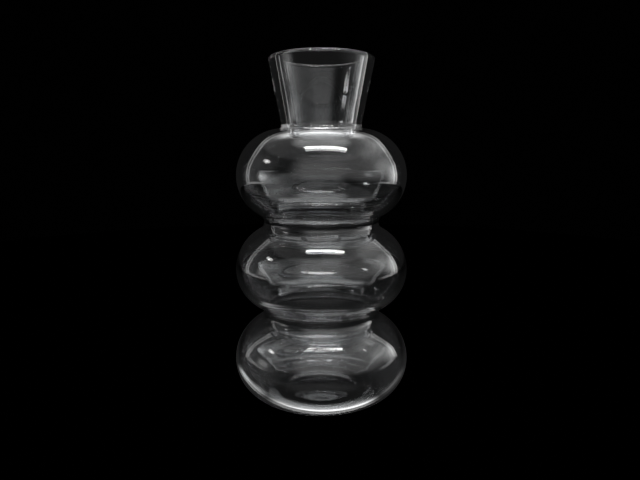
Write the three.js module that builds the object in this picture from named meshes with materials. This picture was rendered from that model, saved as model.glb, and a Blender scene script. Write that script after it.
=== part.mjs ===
import * as THREE from 'three';

// A clear blown-glass vase: three round bulbs above one another, joined by open waists, under a flared neck.
// Millimetres, +Z up, with the origin on the table at the vase's axis. All of it is turned about that axis, so
// every form below is drawn as a half section, with r measured from the axis and z from the table.

// Bulbs: the radius at the girth, and the radii of the round walls below and above it as the section shows them
const lowerGirth = 68.5;
const lowerBellyRound = 29.9;
const lowerShoulderRound = 34.9;
const middleGirth = 66.6;
const middleBellyRound = 30.6;
const middleShoulderRound = 35.2;
const upperGirth = 64.7;
const upperBellyRound = 33.6;
const upperShoulderRound = 35.4;

// Bottom: the degrees below the lower girth where a flatter round takes over, and the foot ring ground into it
const bottomTurn = 56.4;
const bottomRound = 70.5;
const footRadius = 36.6;
const footWidth = 5;
const puntHeight = 3;

// Waists between the bulbs: the narrowest outside radius, and the hollow curve that leads into it
const lowerWaist = 44.3;
const lowerWaistCurve = 6.6;
const upperWaist = 44.2;
const upperWaistCurve = 6.4;

// Neck: a cone that stands on the upper bulb's crown, with a flat rim whose edges are melted round
const neckHeight = 51.6;
const neckRoot = 29.7;
const neckRootCurve = 2.1;
const neckInnerCurve = 8;
const rimRadius = 39.7;
const rimEdge = 2.4;

// Glass thickness: the blown wall of the bulbs and waists, the heavier neck, and the base with its inside floor
const bulbWall = 4;
const neckWall = 6;
const baseThickness = 10;
const floorCurve = 17;

// Where the glass is divided: how far each cut lies above the inside floor and above the neck's root curves
const baseCutRise = 1;
const neckCutRise = 2;

// How far a facet may stray from the true round
const facetError = 0.2;
const quarters = 4;

const glassColour = 0xe3eaea;
const glassRoughness = 0.03;

const point = (r, z) => new THREE.Vector2(r, z);
const circle = (r, z, radius) => ({ r, z, radius });
const leg = (long, short) => Math.sqrt(long * long - short * short);
const turnPerFacet = (radius) => 2 * Math.acos(1 - Math.min(facetError / radius, 1));

// The same round with its wall laid on or taken off
const offset = (round, by) => circle(round.r, round.z, round.radius + by);

// The direction in which one round lies from another, which is where the two touch
const towards = (from, to) => Math.atan2(to.z - from.z, to.r - from.r);

// The outer side of a round at a height, as an angle
const angleAt = (round, z) => Math.asin(THREE.MathUtils.clamp((z - round.z) / round.radius, -1, 1));

// Points along a round from one angle to another, both ends included
function arc(round, start, end) {
  const steps = Math.max(1, Math.ceil(Math.abs(end - start) / turnPerFacet(round.radius)));
  const points = [];
  for (let i = 0; i <= steps; i++) {
    const angle = start + ((end - start) * i) / steps;
    points.push(point(round.r + round.radius * Math.cos(angle), round.z + round.radius * Math.sin(angle)));
  }
  return points;
}

// A waist's hollow round, resting on the bulb below it
function waistOver(bulb, radius, curve) {
  const r = radius + curve;
  return circle(r, bulb.z + leg(bulb.radius + curve, r - bulb.r), curve);
}

// The round wall above or below a girth
const halfBulb = (girth, z, round) => circle(girth - round, z, round);

// A belly resting on the waist below it
function bellyOver(waist, girth, round) {
  return halfBulb(girth, waist.z + leg(round + waist.radius, waist.r + round - girth), round);
}

// The rounds of the outside, from the table up
const takeOver = -THREE.MathUtils.degToRad(bottomTurn);
const bottomStep = bottomRound - lowerBellyRound;
const bottomAxis = lowerGirth - lowerBellyRound - bottomStep * Math.cos(takeOver);
const bottom = circle(bottomAxis, leg(bottomRound, footRadius - bottomAxis), bottomRound);
const lowerHeight = bottom.z + bottomStep * Math.sin(takeOver);
const lowerBelly = halfBulb(lowerGirth, lowerHeight, lowerBellyRound);
const lowerShoulder = halfBulb(lowerGirth, lowerHeight, lowerShoulderRound);
const firstWaist = waistOver(lowerShoulder, lowerWaist, lowerWaistCurve);
const middleBelly = bellyOver(firstWaist, middleGirth, middleBellyRound);
const middleShoulder = halfBulb(middleGirth, middleBelly.z, middleShoulderRound);
const secondWaist = waistOver(middleShoulder, upperWaist, upperWaistCurve);
const upperBelly = bellyOver(secondWaist, upperGirth, upperBellyRound);
const upperShoulder = halfBulb(upperGirth, upperBelly.z, upperShoulderRound);
const crown = upperShoulder.z + upperShoulder.radius;
const rim = crown + neckHeight;

// The neck's outside line leans out by this angle, and its normal points out of the glass
const lean = Math.atan2(rimRadius - neckRoot, neckHeight);
const outward = point(Math.cos(lean), -Math.sin(lean));

// Radius of a line parallel to the neck's outside, the given distance outside it
const neckLine = (z, distance) => neckRoot + (z - crown) * Math.tan(lean) + distance / Math.cos(lean);

// A round that touches a bulb from outside and a line parallel to the neck, the given distance off its outside
function neckRound(bulb, distance, curve) {
  const reach = bulb.radius + curve;
  const fromCentre = point(neckLine(bulb.z, distance + curve) - bulb.r, 0).dot(outward);
  const along = leg(reach, fromCentre);
  const r = bulb.r + fromCentre * outward.x - along * outward.y;
  const z = bulb.z + fromCentre * outward.y + along * outward.x;
  return circle(r, z, curve);
}

// The rounds of the inside run parallel to the outside at the wall's thickness
const lowerBellyIn = offset(lowerBelly, -bulbWall);
const lowerShoulderIn = offset(lowerShoulder, -bulbWall);
const firstWaistIn = offset(firstWaist, bulbWall);
const middleBellyIn = offset(middleBelly, -bulbWall);
const middleShoulderIn = offset(middleShoulder, -bulbWall);
const secondWaistIn = offset(secondWaist, bulbWall);
const upperBellyIn = offset(upperBelly, -bulbWall);
const upperShoulderIn = offset(upperShoulder, -bulbWall);
const rootRound = neckRound(upperShoulder, 0, neckRootCurve);
const rootRoundIn = neckRound(upperShoulderIn, -neckWall, neckInnerCurve);

// The inside floor meets the lower bulb's wall in a round hollow
const floorHeight = baseThickness + floorCurve;
const floorRound = circle(
  lowerBelly.r + leg(lowerBellyIn.radius - floorCurve, floorHeight - lowerHeight), floorHeight, floorCurve);

// The cuts between the sections
const girthSide = 0;
const waistSide = Math.PI;
const neckSide = Math.PI - lean;
const baseCut = baseThickness + baseCutRise;
const rootTop = (round) => round.z + round.radius * Math.sin(neckSide);
const neckCut = Math.max(rootTop(rootRound), rootTop(rootRoundIn)) + neckCutRise;

// A waist's hollow round, from the side that touches a bulb to its narrowest plane
const waistArc = (waist, bulb) => arc(waist, towards(bulb, waist) + Math.PI, waistSide);

// One side of a belly, from the narrowest plane below it up to the girth
const bellySide = (waist, bulb) => [
  ...waistArc(waist, bulb).reverse(),
  ...arc(bulb, towards(bulb, waist), girthSide),
];

// One side of a shoulder, from the girth up to the narrowest plane above it
const shoulderSide = (bulb, waist) => [
  ...arc(bulb, girthSide, towards(bulb, waist)),
  ...waistArc(waist, bulb),
];

// The lower bulb's outside between two heights, first on the flatter bottom round and then on the belly's
function lowerOutside(low, high) {
  const flatter = [low, high].map((z) => Math.min(angleAt(bottom, z), takeOver));
  const rounder = [low, high].map((z) => Math.max(angleAt(lowerBelly, z), takeOver));
  return [
    ...(flatter[0] < flatter[1] ? arc(bottom, ...flatter) : []),
    ...(rounder[0] < rounder[1] ? arc(lowerBelly, ...rounder) : []),
  ];
}

// The shallow hollow under the base is part of a sphere
function puntPoints(edge) {
  const radius = (edge * edge + puntHeight * puntHeight) / (2 * puntHeight);
  const sphere = circle(0, puntHeight - radius, radius);
  return arc(sphere, Math.PI / 2, Math.acos(edge / radius));
}

function baseSection() {
  return [
    ...puntPoints(footRadius - footWidth),
    ...lowerOutside(0, baseCut),
    ...arc(floorRound, angleAt(floorRound, baseCut), -Math.PI / 2),
    point(0, baseThickness),
  ];
}

function lowerBellySection() {
  const inside = [
    ...arc(floorRound, angleAt(floorRound, baseCut), towards(lowerBellyIn, floorRound)),
    ...arc(lowerBellyIn, towards(lowerBellyIn, floorRound), girthSide),
  ];
  return wall(lowerOutside(baseCut, lowerHeight), inside);
}

function lowerShoulderSection() {
  return wall(shoulderSide(lowerShoulder, firstWaist), shoulderSide(lowerShoulderIn, firstWaistIn));
}

function middleBellySection() {
  return wall(bellySide(firstWaist, middleBelly), bellySide(firstWaistIn, middleBellyIn));
}

function middleShoulderSection() {
  return wall(shoulderSide(middleShoulder, secondWaist), shoulderSide(middleShoulderIn, secondWaistIn));
}

function upperBellySection() {
  return wall(bellySide(secondWaist, upperBelly), bellySide(secondWaistIn, upperBellyIn));
}

function upperShoulderSection() {
  const side = (bulb, root, distance) => [
    ...arc(bulb, girthSide, towards(bulb, root)),
    ...arc(root, towards(bulb, root) + Math.PI, neckSide),
    point(neckLine(neckCut, distance), neckCut),
  ];
  return wall(side(upperShoulder, rootRound, 0), side(upperShoulderIn, rootRoundIn, -neckWall));
}

function neckSection() {
  const edgeHeight = rim - rimEdge;
  const edgeRound = (distance) => circle(neckLine(edgeHeight, distance), edgeHeight, rimEdge);
  const outside = [
    point(neckLine(neckCut, 0), neckCut),
    ...arc(edgeRound(-rimEdge), -lean, Math.PI / 2),
  ];
  const inside = [
    point(neckLine(neckCut, -neckWall), neckCut),
    ...arc(edgeRound(rimEdge - neckWall), neckSide, Math.PI / 2),
  ];
  return wall(outside, inside);
}

// Up the outside, down the inside and back to the start
function wall(outside, inside) {
  return [...outside, ...inside.reverse(), outside[0]];
}

// Neighbouring curves share their end points, which the outline keeps once
function withoutRepeats(points) {
  return points.filter((p, i) => i === 0 || p.distanceTo(points[i - 1]) > facetError / 100);
}

// One section of the vase, turned about the axis
function turned(name, section) {
  const widest = Math.max(lowerGirth, middleGirth, upperGirth, rimRadius);
  const sides = quarters * Math.ceil((2 * Math.PI) / turnPerFacet(widest) / quarters);
  const geometry = new THREE.LatheGeometry(withoutRepeats(section), sides).rotateX(Math.PI / 2);
  const material = new THREE.MeshStandardMaterial({
    color: glassColour,
    roughness: glassRoughness,
    metalness: 0,
  });
  const mesh = new THREE.Mesh(geometry, material);
  mesh.name = name;
  return mesh;
}

const vase = new THREE.Group();
vase.name = 'glass_vase';
vase.add(
  turned('base', baseSection()),
  turned('lower_belly', lowerBellySection()),
  turned('lower_shoulder', lowerShoulderSection()),
  turned('middle_belly', middleBellySection()),
  turned('middle_shoulder', middleShoulderSection()),
  turned('upper_belly', upperBellySection()),
  turned('upper_shoulder', upperShoulderSection()),
  turned('neck', neckSection()),
);

export default vase;
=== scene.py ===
import bpy
import bmesh
from math import acos, atan2, cos, degrees, pi, radians, sin, sqrt, tan
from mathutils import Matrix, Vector


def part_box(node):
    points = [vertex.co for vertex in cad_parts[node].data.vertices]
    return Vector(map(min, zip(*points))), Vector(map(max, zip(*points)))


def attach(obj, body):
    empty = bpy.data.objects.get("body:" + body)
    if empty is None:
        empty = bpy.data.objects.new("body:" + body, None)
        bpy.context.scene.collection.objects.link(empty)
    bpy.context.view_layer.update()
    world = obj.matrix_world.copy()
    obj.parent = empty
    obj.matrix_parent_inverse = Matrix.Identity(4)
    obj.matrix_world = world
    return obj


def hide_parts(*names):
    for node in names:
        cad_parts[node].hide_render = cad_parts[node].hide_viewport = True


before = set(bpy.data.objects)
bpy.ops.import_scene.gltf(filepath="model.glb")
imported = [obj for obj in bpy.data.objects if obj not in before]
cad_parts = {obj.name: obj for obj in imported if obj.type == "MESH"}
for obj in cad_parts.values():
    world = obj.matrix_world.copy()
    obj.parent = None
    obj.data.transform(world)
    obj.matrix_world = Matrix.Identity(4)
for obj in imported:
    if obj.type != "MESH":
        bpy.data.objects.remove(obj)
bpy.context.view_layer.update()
scene = bpy.context.scene
mm = 0.001
print("frame loaded:", ", ".join(sorted(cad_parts)))


# Shader maths: a socket that can be added to, multiplied and so on
class Wire:
    def __init__(self, tree, socket=None):
        self.tree = tree
        self.socket = socket

    # makes any node from its type, its settings and the values or wires of its sockets
    def node(self, kind, settings=None, inputs=None, out=0):
        made = self.tree.nodes.new(kind)
        for name, value in (settings or {}).items():
            setattr(made, name, value)
        for name, value in (inputs or {}).items():
            if isinstance(value, Wire):
                self.tree.links.new(value.socket, made.inputs[name])
            else:
                made.inputs[name].default_value = value
        return Wire(self.tree, made.outputs[out] if made.outputs else None)

    def maths(self, operation, left, right=0):
        return self.node("ShaderNodeMath", {"operation": operation}, {0: left, 1: right})

    def __add__(self, other):
        return self.maths("ADD", self, other)

    def __radd__(self, other):
        return self.maths("ADD", other, self)

    def __sub__(self, other):
        return self.maths("SUBTRACT", self, other)

    def __rsub__(self, other):
        return self.maths("SUBTRACT", other, self)

    def __mul__(self, other):
        return self.maths("MULTIPLY", self, other)

    def __rmul__(self, other):
        return self.maths("MULTIPLY", other, self)

    # 0 at low, 1 at high, and smooth between; the other way round where low is above high
    def fade(self, value, low, high):
        if low > high:
            return 1 - self.fade(value, high, low)
        return self.node("ShaderNodeMapRange", {"interpolation_type": "SMOOTHSTEP"},
                         {"Value": value, "From Min": low, "From Max": high})

    # 1 from low to high, with soft ends
    def band(self, value, low, high, soft):
        return self.fade(value, low - soft, low + soft) * self.fade(value, high + soft, high - soft)

    # distance from the middle of two directions
    def distance(self, across, along):
        return self.maths("SQRT", across * across + along * along)

    def place(self):
        return self.node("ShaderNodeTexCoord", out="Object")

    # x, y and z of the place
    def places(self):
        parts = self.node("ShaderNodeSeparateXYZ", inputs={"Vector": self.place()})
        return [Wire(self.tree, socket) for socket in parts.socket.node.outputs]


def newMaterial(name):
    material = bpy.data.materials.new(name)
    material.use_nodes = True
    material.node_tree.nodes.clear()
    return material, Wire(material.node_tree)


# The vase: one turned wall of glass, drawn as a half section and spun about the axis
vase = {
    "lowerBellyRound": 29.9 * mm,       # radii of the bulbs' walls in section, below and above each girth
    "lowerShoulderRound": 34.9 * mm,
    "middleBellyRound": 30.6 * mm,
    "middleShoulderRound": 35.2 * mm,
    "upperBellyRound": 33.6 * mm,
    "upperShoulderRound": 35.4 * mm,
    "lowerWaistCurve": 6.6 * mm,        # hollow curve of each waist
    "upperWaistCurve": 6.4 * mm,
    "bottomTurn": radians(56.4),        # how far below the lower girth the flatter bottom takes over
    "bottomRound": 70.5 * mm,
    "footRadius": 36.6 * mm,
    "footWidth": 5 * mm,
    "puntHeight": 3 * mm,               # hollow under the base
    "neckHeight": 51.6 * mm,            # above the upper bulb's crown
    "neckRoot": 29.7 * mm,
    "neckRootCurve": 2.1 * mm,
    "neckInnerCurve": 8 * mm,
    "rimRadius": 39.7 * mm,
    "rimEdge": 2.4 * mm,
    "bulbWall": 4 * mm,
    "neckWall": 6 * mm,
    "baseThickness": 10 * mm,
    "floorCurve": 17 * mm,              # where the inside floor meets the wall
    "bendStep": radians(3),             # how finely the section's curves are divided
    "leastSteps": 6,
    "neckSteps": 16,
    "floorSteps": 4,
    "around": 160,                      # divisions around the axis
    "seamGap": 0.001 * mm,
}


def leg(long, short):
    return sqrt(long * long - short * short)


def towards(start, end):
    return atan2(end[1] - start[1], end[0] - start[0])


# A section is drawn by its last point, which swings about centres and runs along straights
class Section:
    def __init__(self, r, z):
        self.mesh = bmesh.new()
        self.tip = self.mesh.verts.new((r, 0, z))

    def swingTo(self, centre, direction):
        start = towards(centre, (self.tip.co.x, self.tip.co.z))
        turn = (direction - start + pi) % (2 * pi) - pi         # the shorter way round
        steps = max(vase["leastSteps"], round(abs(turn) / vase["bendStep"]))
        made = bmesh.ops.spin(self.mesh, geom=[self.tip], cent=(centre[0], 0, centre[1]),
                              axis=(0, -1, 0), angle=turn, steps=steps)
        self.tip = [v for v in made["geom_last"] if isinstance(v, bmesh.types.BMVert)][0]

    def runTo(self, r, z, steps=1):
        step = (Vector((r, 0, z)) - self.tip.co) / steps
        for i in range(steps):
            made = bmesh.ops.extrude_vert_indiv(self.mesh, verts=[self.tip])
            self.tip = made["verts"][0]
            bmesh.ops.translate(self.mesh, verts=[self.tip], vec=step)

    def spin(self, around):
        bmesh.ops.spin(self.mesh, geom=self.mesh.verts[:] + self.mesh.edges[:], cent=(0, 0, 0),
                       axis=(0, 0, 1), angle=2 * pi, steps=around, use_merge=True)
        bmesh.ops.remove_doubles(self.mesh, verts=self.mesh.verts[:], dist=vase["seamGap"])
        bmesh.ops.recalc_face_normals(self.mesh, faces=self.mesh.faces[:])


# Radius and height of a bulb's girth, which is the top of its belly in the frame
def girthOf(belly):
    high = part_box(belly)[1]
    return high.x, high.z


def waistCentre(bulb, bulbRadius, curve, height):
    return bulb[0] + leg(bulbRadius + curve, height - bulb[1]), height


# A round that touches a bulb and a line parallel to the neck's outside
def neckRoundCentre(bulb, bulbRadius, lineRadius, lean, curve):
    out = (lineRadius - bulb[0]) * cos(lean) + curve
    along = leg(bulbRadius + curve, out)
    return bulb[0] + out * cos(lean) + along * sin(lean), bulb[1] - out * sin(lean) + along * cos(lean)


def makeVase():
    v = vase
    wall = v["bulbWall"]
    lowerGirth, lowerHeight = girthOf("lower_belly")
    middleGirth, middleHeight = girthOf("middle_belly")
    upperGirth, upperHeight = girthOf("upper_belly")
    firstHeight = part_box("lower_shoulder")[1].z
    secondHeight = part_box("middle_shoulder")[1].z
    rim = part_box("neck")[1].z

    # centres of the rounds, as radius and height
    lowerBelly = (lowerGirth - v["lowerBellyRound"], lowerHeight)
    lowerShoulder = (lowerGirth - v["lowerShoulderRound"], lowerHeight)
    middleBelly = (middleGirth - v["middleBellyRound"], middleHeight)
    middleShoulder = (middleGirth - v["middleShoulderRound"], middleHeight)
    upperBelly = (upperGirth - v["upperBellyRound"], upperHeight)
    upperShoulder = (upperGirth - v["upperShoulderRound"], upperHeight)
    bottomStep = v["bottomRound"] - v["lowerBellyRound"]
    bottom = (lowerBelly[0] - bottomStep * cos(v["bottomTurn"]),
              lowerHeight + bottomStep * sin(v["bottomTurn"]))
    first = waistCentre(lowerShoulder, v["lowerShoulderRound"], v["lowerWaistCurve"], firstHeight)
    second = waistCentre(middleShoulder, v["middleShoulderRound"], v["upperWaistCurve"], secondHeight)
    crown = upperHeight + v["upperShoulderRound"]
    lean = atan2(v["rimRadius"] - v["neckRoot"], v["neckHeight"])

    def neckLine(z, distance):      # radius of a line parallel to the neck's outside
        return v["neckRoot"] + (z - crown) * tan(lean) + distance / cos(lean)

    root = neckRoundCentre(upperShoulder, v["upperShoulderRound"], neckLine(upperHeight, 0), lean,
                           v["neckRootCurve"])
    rootIn = neckRoundCentre(upperShoulder, v["upperShoulderRound"] - wall,
                             neckLine(upperHeight, -v["neckWall"]), lean, v["neckInnerCurve"])
    neckSide = pi - lean
    edge = rim - v["rimEdge"]
    rimOut = (neckLine(edge, -v["rimEdge"]), edge)
    rimIn = (neckLine(edge, v["rimEdge"] - v["neckWall"]), edge)
    floorHeight = v["baseThickness"] + v["floorCurve"]
    floorReach = leg(v["lowerBellyRound"] - wall - v["floorCurve"], floorHeight - lowerHeight)
    floorRound = (lowerBelly[0] + floorReach, floorHeight)

    # outside: the hollow under the base, the foot ring, the bulbs and the neck
    puntEdge = v["footRadius"] - v["footWidth"]
    puntRadius = (puntEdge ** 2 + v["puntHeight"] ** 2) / (2 * v["puntHeight"])
    section = Section(0, v["puntHeight"])
    section.swingTo((0, v["puntHeight"] - puntRadius), acos(puntEdge / puntRadius))
    section.runTo(v["footRadius"], 0)
    section.swingTo(bottom, -v["bottomTurn"])
    section.swingTo(lowerBelly, 0)
    section.swingTo(lowerShoulder, towards(lowerShoulder, first))
    section.swingTo(first, towards(first, middleBelly))
    section.swingTo(middleBelly, 0)
    section.swingTo(middleShoulder, towards(middleShoulder, second))
    section.swingTo(second, towards(second, upperBelly))
    section.swingTo(upperBelly, 0)
    section.swingTo(upperShoulder, towards(upperShoulder, root))
    section.swingTo(root, neckSide)
    section.runTo(rimOut[0] + v["rimEdge"] * cos(lean), edge - v["rimEdge"] * sin(lean),
                  steps=v["neckSteps"])
    section.swingTo(rimOut, pi / 2)

    # inside: across the rim, down the neck and the bulbs to the floor
    section.runTo(rimIn[0], rim)
    section.swingTo(rimIn, neckSide)
    section.runTo(rootIn[0] + v["neckInnerCurve"] * cos(neckSide),
                  rootIn[1] + v["neckInnerCurve"] * sin(neckSide), steps=v["neckSteps"])
    section.swingTo(rootIn, towards(rootIn, upperShoulder))
    section.swingTo(upperShoulder, 0)
    section.swingTo(upperBelly, towards(upperBelly, second))
    section.swingTo(second, towards(second, middleShoulder))
    section.swingTo(middleShoulder, 0)
    section.swingTo(middleBelly, towards(middleBelly, first))
    section.swingTo(first, towards(first, lowerShoulder))
    section.swingTo(lowerShoulder, 0)
    section.swingTo(lowerBelly, towards(lowerBelly, floorRound))
    section.swingTo(floorRound, -pi / 2)
    section.runTo(0, v["baseThickness"], steps=v["floorSteps"])
    section.spin(v["around"])

    mesh = bpy.data.meshes.new("glassVase")
    section.mesh.to_mesh(mesh)
    section.mesh.free()
    for face in mesh.polygons:
        face.use_smooth = True
    piece = bpy.data.objects.new("glassVase", mesh)
    scene.collection.objects.link(piece)
    print("vase turned:", len(mesh.polygons), "faces")
    return piece


glass = {
    "colour": (0.98, 0.992, 1.0, 1),
    "refraction": 1.5,
    "waveScale": 24.0,                  # waves of the blown wall, per metre
    "waveDetail": 1.0,
    "waveDepth": 0.05 * mm,
    "streakScale": (150.0, 150.0, 9.0),     # upright streaks drawn into the neck
    "streakDetail": 2.0,
    "streakDepth": 0.035 * mm,
    "streakFrom": (0.205, 0.235),       # heights where they begin and are full
    "hazeScale": 40.0,                  # patches that are a little less polished
    "hazeDetail": 3.0,
    "hazeFrom": (0.55, 0.8),            # how much of the noise becomes haze
    "haze": 0.05,
    "shadow": (0.94, 0.95, 0.95, 1),
}


# Clear glass, a little uneven as blown glass is
def clearGlass():
    g = glass
    material, wire = newMaterial("clearGlass")
    place = wire.place()
    z = wire.places()[2]

    def noise(vector, scale, detail):
        return wire.node("ShaderNodeTexNoise", inputs={"Vector": vector, "Scale": scale, "Detail": detail})

    waves = noise(place, g["waveScale"], g["waveDetail"])
    drawn = wire.node("ShaderNodeMapping", inputs={"Vector": place, "Scale": g["streakScale"]})
    streaks = noise(drawn, 1.0, g["streakDetail"]) * wire.fade(z, *g["streakFrom"])
    height = waves * g["waveDepth"] + streaks * g["streakDepth"]
    bump = wire.node("ShaderNodeBump", inputs={"Strength": 1.0, "Distance": 1.0, "Height": height})
    haze = wire.fade(noise(place, g["hazeScale"], g["hazeDetail"]), *g["hazeFrom"]) * g["haze"]
    body = wire.node("ShaderNodeBsdfPrincipled", inputs={
        "Base Color": g["colour"],
        "Roughness": haze,
        "IOR": g["refraction"],
        "Transmission Weight": 1.0,
        "Normal": bump,
    })
    shadow = wire.node("ShaderNodeBsdfTransparent", inputs={"Color": g["shadow"]})
    shade = wire.node("ShaderNodeLightPath", out="Is Shadow Ray")
    mixed = wire.node("ShaderNodeMixShader", inputs={0: shade, 1: body, 2: shadow})
    wire.node("ShaderNodeOutputMaterial", inputs={"Surface": mixed})
    print("glass mixed")
    return material


def stageMesh(name, mesh, material):
    made = bpy.data.meshes.new(name)
    mesh.to_mesh(made)
    mesh.free()
    made.materials.append(material)
    thing = bpy.data.objects.new(name, made)
    scene.collection.objects.link(thing)
    return thing


# Finishes a material that only gives off light
def shine(wire, colour, strength):
    body = wire.node("ShaderNodeEmission", inputs={"Color": colour, "Strength": strength})
    wire.node("ShaderNodeOutputMaterial", inputs={"Surface": body})


floor = {
    "radius": 1.0,
    "sides": 96,
    "colour": (0.72, 0.72, 0.72, 1),
    "roughness": 0.9,
}


def makeFloor():
    material, wire = newMaterial("paleFloor")
    body = wire.node("ShaderNodeBsdfPrincipled", inputs={
        "Base Color": floor["colour"], "Roughness": floor["roughness"], "Specular IOR Level": 0.0})
    wire.node("ShaderNodeOutputMaterial", inputs={"Surface": body})
    bm = bmesh.new()
    bmesh.ops.create_circle(bm, cap_ends=True, segments=floor["sides"], radius=floor["radius"])
    stageMesh("floor", bm, material)
    print("floor laid")


# A dark dome over the vase, with soft panels of light on it
dome = {
    "radius": 1.0,
    "sides": 96,
    "rings": 64,
    "foot": 2 * mm,                     # its lower edge, just clear of the floor
    "glow": 1.5,
    "dark": 0.005,                      # what little the cloth itself gives off
    "openWide": 66,                     # half width in degrees and height of the dark opening behind the vase
    "openHigh": 0.707,
    "openSquare": 5.5,                  # the higher, the squarer its corners
    "openSoft": 0.015,
    "edge": (1.0, 1.05),                # bright edge around the opening, in shares of its size
    "edgeSides": (15, 50),              # degrees from behind where the edge begins and is full
    "edgeLeft": 0.9,
    "edgeRight": 1.1,
    "edgeTurn": 0.3,                    # how far from the middle the left glow gives way to the right one
    # from, to and softness in degrees from behind, right side positive; from, to and softness in height; glow
    "panels": [
        (50, 78, 6, 0.05, 0.4, 0.08, 0.8),
        (50, 88, 8, 0.05, 0.3, 0.12, 0.55),
        (50, 128, 14, 0.16, 0.76, 0.12, 0.36),
        (78, 104, 10, 0.3, 0.58, 0.12, 0.6),
        (74, 100, 7, -1, 0.045, 0.02, 0.9),
        (50, 110, 8, 0.66, 0.86, 0.06, 0.3),
        (128, 145, 10, 0.15, 0.8, 0.1, 0.25),
        (146, 200, 14, 0.27, 0.76, 0.16, 0.5),
        (-200, -146, 14, 0.27, 0.76, 0.16, 0.5),
        (-107, -92, 5, 0.1, 0.27, 0.05, 0.8),
        (-104, -74, 8, -1, 0.05, 0.02, 0.8),
        (-101, -93, 1.5, 0.565, 0.625, 0.012, 6.0),     # small lamp
        (-114, -50, 6, -1, 0.7, 0.1, 0.08),
        (-40, 200, 10, 0.74, 2, 0.04, 0.28),
        (-200, -40, 10, 0.74, 2, 0.04, 0.14),
        (-38, 38, 8, 0.8, 0.95, 0.03, 0.9),
        (-200, 200, 5, 0.95, 2, 0.025, 0.9),            # top of the dome
    ],
}


def makeDome():
    material, wire = newMaterial("domeCloth")
    x, y, z = wire.places()
    around = wire.maths("ARCTAN2", x, y) * degrees(1)
    fromBehind = wire.maths("ABSOLUTE", around)

    # 1 on the rim of the opening, less inside it
    square = dome["openSquare"]
    across = wire.maths("POWER", fromBehind * (1 / dome["openWide"]), square)
    up = wire.maths("POWER", z * (1 / dome["openHigh"]), square)
    reach = wire.maths("POWER", across + up, 1 / square)
    soft = dome["openSoft"]
    turn = dome["edgeTurn"]
    edgeGlow = dome["edgeLeft"] + wire.fade(x, -turn, turn) * (dome["edgeRight"] - dome["edgeLeft"])
    light = wire.band(reach, *dome["edge"], soft) * wire.fade(fromBehind, *dome["edgeSides"]) * edgeGlow
    for start, end, softAround, low, high, softUp, glow in dome["panels"]:
        light = light + wire.band(around, start, end, softAround) * wire.band(z, low, high, softUp) * glow
    light = dome["dark"] + light * wire.fade(reach, 1 - soft, 1 + soft)
    shine(wire, light, dome["glow"])

    bm = bmesh.new()
    bmesh.ops.create_uvsphere(bm, u_segments=dome["sides"], v_segments=dome["rings"], radius=dome["radius"])
    bmesh.ops.bisect_plane(bm, geom=bm.verts[:] + bm.edges[:] + bm.faces[:],
                           plane_co=(0, 0, dome["foot"]), plane_no=(0, 0, 1), clear_inner=True)
    cloth = stageMesh("dome", bm, material)
    cloth.visible_camera = False
    print("dome set up:", len(dome["panels"]), "panels")
    return cloth


# The light that the vase itself gathers on the table around it, as a sheet of light that only the vase sees
thrown = {
    "ring": (0.0975, 0.0995, 0.102, 0.118),     # radii where the ring begins, is full, fades and ends
    "ringCentre": (-0.004, 0.045),
    "ringBack": (0.05, 0.0),            # y where it begins behind and is full
    "ringSides": (0.05, 0.07),          # distance to the side where the side glows begin and are full
    "leftGlow": 0.9,
    "rightGlow": 0.1,
    "ringFront": (-0.025, -0.045),      # y where the front glow begins and is full
    "frontWide": (0.058, 0.035),        # distance to the side where it ends and is full
    "frontGlow": 1.3,
    "near": (0.03, 0.07, 0.25),         # faint light around the foot: where it begins, is full and ends
    "nearGlow": 0.012,
    "lane": (-0.09, -0.14, -0.3, -0.45),    # light in front: y where it begins, is full, fades and ends
    "laneWide": (0.16, 0.04),
    "laneGlow": 0.12,
    "farGlow": 0.006,                   # on the rest of the table
    "radius": 0.95,
    "lift": 0.3 * mm,                   # above the floor
}


def makeThrown():
    t = thrown
    material, wire = newMaterial("thrownLight")
    x, y = wire.places()[:2]
    aside = wire.maths("ABSOLUTE", x)
    fromRing = wire.distance(x - t["ringCentre"][0], y - t["ringCentre"][1])
    fromFoot = wire.distance(x, y)

    start, full, fading, end = t["ring"]
    ring = wire.fade(fromRing, start, full) * wire.fade(fromRing, end, fading) * wire.fade(y, *t["ringBack"])
    sideStart, sideFull = t["ringSides"]
    left = wire.fade(x, -sideStart, -sideFull) * t["leftGlow"]
    right = wire.fade(x, sideStart, sideFull) * t["rightGlow"]
    front = wire.fade(y, *t["ringFront"]) * wire.fade(aside, *t["frontWide"]) * t["frontGlow"]

    start, full, end = t["near"]
    near = wire.fade(fromFoot, start, full) * wire.fade(fromFoot, end, full) * t["nearGlow"]
    start, full, fading, end = t["lane"]
    lane = wire.fade(y, start, full) * wire.fade(y, end, fading) * wire.fade(aside, *t["laneWide"])
    far = wire.fade(fromRing, floor["radius"], 0) * t["farGlow"]
    shine(wire, ring * (left + right + front) + near + lane * t["laneGlow"] + far, 1.0)

    bm = bmesh.new()
    bmesh.ops.create_circle(bm, cap_ends=True, segments=floor["sides"], radius=t["radius"])
    bmesh.ops.translate(bm, verts=bm.verts[:], vec=(0, 0, t["lift"]))
    sheet = stageMesh("thrownLight", bm, material)
    sheet.visible_camera = False
    print("thrown light laid")
    return sheet


softbox = {
    "place": (0.047, -0.195, 0.7),
    "target": (0, -0.05, 0.1),
    "size": (0.42, 0.06),
    "power": 2.7,
}


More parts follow.
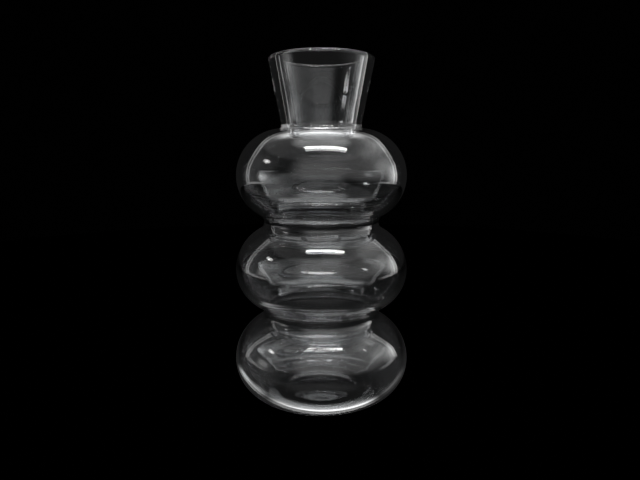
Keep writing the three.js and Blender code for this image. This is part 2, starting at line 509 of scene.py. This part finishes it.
def makeSoftbox():
    place, target = softbox["place"], softbox["target"]
    data = bpy.data.lights.new("overhead", "AREA")
    data.shape = "RECTANGLE"
    data.size, data.size_y = softbox["size"]
    data.energy = softbox["power"]
    lamp = bpy.data.objects.new("overhead", data)
    lamp.location = place
    tilt = atan2(target[1] - place[1], place[2] - target[2])
    lamp.rotation_euler = (tilt, 0, 0)      # level from side to side
    lamp.visible_camera = False
    scene.collection.objects.link(lamp)
    return lamp


def lightOnly(light, *things):
    only = bpy.data.collections.new(light.name + "Lights")
    for thing in things:
        only.objects.link(thing)
    light.light_linking.receiver_collection = only


room = {
    "colour": (1, 1, 1, 1),
    "glow": 0.0002,                     # what little light the floor and the backdrop give back
}


# The dome, the thrown light and the softbox light the vase alone, so that the floor stays dark around it
def makeLights(piece):
    for light in [makeDome(), makeThrown(), makeSoftbox()]:
        lightOnly(light, piece)
    world = bpy.data.worlds.new("darkRoom")
    scene.world = world
    world.use_nodes = True
    world.node_tree.nodes.clear()
    wire = Wire(world.node_tree)
    back = wire.node("ShaderNodeBackground", inputs={"Color": room["colour"], "Strength": room["glow"]})
    wire.node("ShaderNodeOutputWorld", inputs={"Surface": back})
    print("lights set")


view = {
    "place": (-0.00105, -0.4, 0.1969),
    "aim": (-0.00105, 0, 0.1273),
    "focalPixels": 518.2,
    "imageWidth": 640,
    "sensor": 36.0,
    "clip": (0.05, 50),
}


def makeCamera():
    place, aim = Vector(view["place"]), Vector(view["aim"])
    data = bpy.data.cameras.new("camera")
    data.sensor_width = view["sensor"]
    data.lens = view["focalPixels"] / view["imageWidth"] * view["sensor"]
    data.clip_start, data.clip_end = view["clip"]
    camera = bpy.data.objects.new("camera", data)
    camera.location = place
    camera.rotation_euler = (aim - place).to_track_quat("-Z", "Y").to_euler()
    scene.collection.objects.link(camera)
    scene.camera = camera
    print("camera placed")


bounces = {"all": 24, "glossy": 12}


def setRender():
    scene.view_settings.view_transform = "Standard"
    scene.cycles.max_bounces = bounces["all"]
    scene.cycles.transmission_bounces = bounces["all"]
    scene.cycles.glossy_bounces = bounces["glossy"]
    scene.cycles.blur_glossy = 0
    scene.cycles.caustics_refractive = False        # the thrown light stands in for these
    scene.cycles.caustics_reflective = False


piece = makeVase()
piece.data.materials.append(clearGlass())
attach(piece, "root")
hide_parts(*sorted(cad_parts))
makeFloor()
makeLights(piece)
makeCamera()
setRender()
